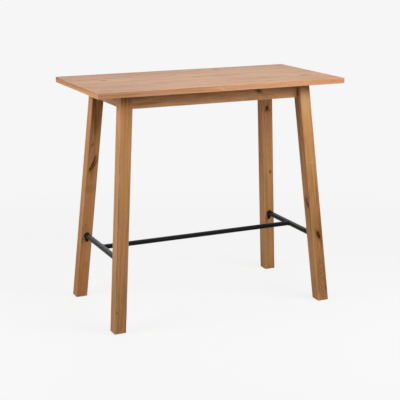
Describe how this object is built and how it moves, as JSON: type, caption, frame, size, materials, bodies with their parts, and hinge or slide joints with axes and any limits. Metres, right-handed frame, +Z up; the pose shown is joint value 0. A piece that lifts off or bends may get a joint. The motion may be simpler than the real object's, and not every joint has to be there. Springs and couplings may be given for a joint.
{
  "type": "bar table",
  "caption": "Tall rectangular wooden bar table with splayed square legs, a framed top and a black tubular H-shaped footrest.",
  "frame": {"origin": "on the floor, under the middle of the top", "axes": "+X along the top, +Y to the back, +Z up"},
  "size_m": [1.17, 0.58, 1.05],
  "materials": {
    "oak_veneer_top": "oiled oak veneer, satin, fine lengthwise grain",
    "oak_edge_band": "oiled oak edge band, satin",
    "oak_leg": "oiled solid oak with knots, satin",
    "oak_apron": "oiled solid oak, satin",
    "beech_block": "plain sawn hardwood, unfinished",
    "beech_dowel": "plain turned hardwood",
    "black_tube": "black powder coat, satin, fine texture",
    "black_screw": "black oxide, satin",
    "zinc_steel": "bright zinc plate",
    "glide_nylon": "brown nylon"
  },
  "bodies": {
    "root": {"tabletop_panel": "oak_veneer_top", "edge_band_front": "oak_edge_band", "edge_band_back": "oak_edge_band", "edge_band_left": "oak_edge_band", "edge_band_right": "oak_edge_band", "leg_front_left": "oak_leg", "leg_front_right": "oak_leg", "leg_back_left": "oak_leg", "leg_back_right": "oak_leg", "apron_front": "oak_apron", "apron_back": "oak_apron", "apron_left": "oak_apron", "apron_right": "oak_apron", "corner_block_front_left": "beech_block", "corner_block_front_right": "beech_block", "corner_block_back_left": "beech_block", "corner_block_back_right": "beech_block", "apron_dowels": "beech_dowel", "footrest_long_tube": "black_tube", "footrest_side_tube_left": "black_tube", "footrest_side_tube_right": "black_tube", "footrest_plate_front_left": "black_tube", "footrest_plate_front_right": "black_tube", "footrest_plate_back_left": "black_tube", "footrest_plate_back_right": "black_tube", "footrest_screws": "black_screw", "hanger_bolts": "zinc_steel", "bolt_washers": "zinc_steel", "bolt_nuts": "zinc_steel", "corner_block_screws": "zinc_steel", "top_brackets": "zinc_steel", "top_bracket_screws": "zinc_steel", "foot_glide_front_left": "glide_nylon", "foot_glide_front_right": "glide_nylon", "foot_glide_back_left": "glide_nylon", "foot_glide_back_right": "glide_nylon"}
  },
  "joints": []
}
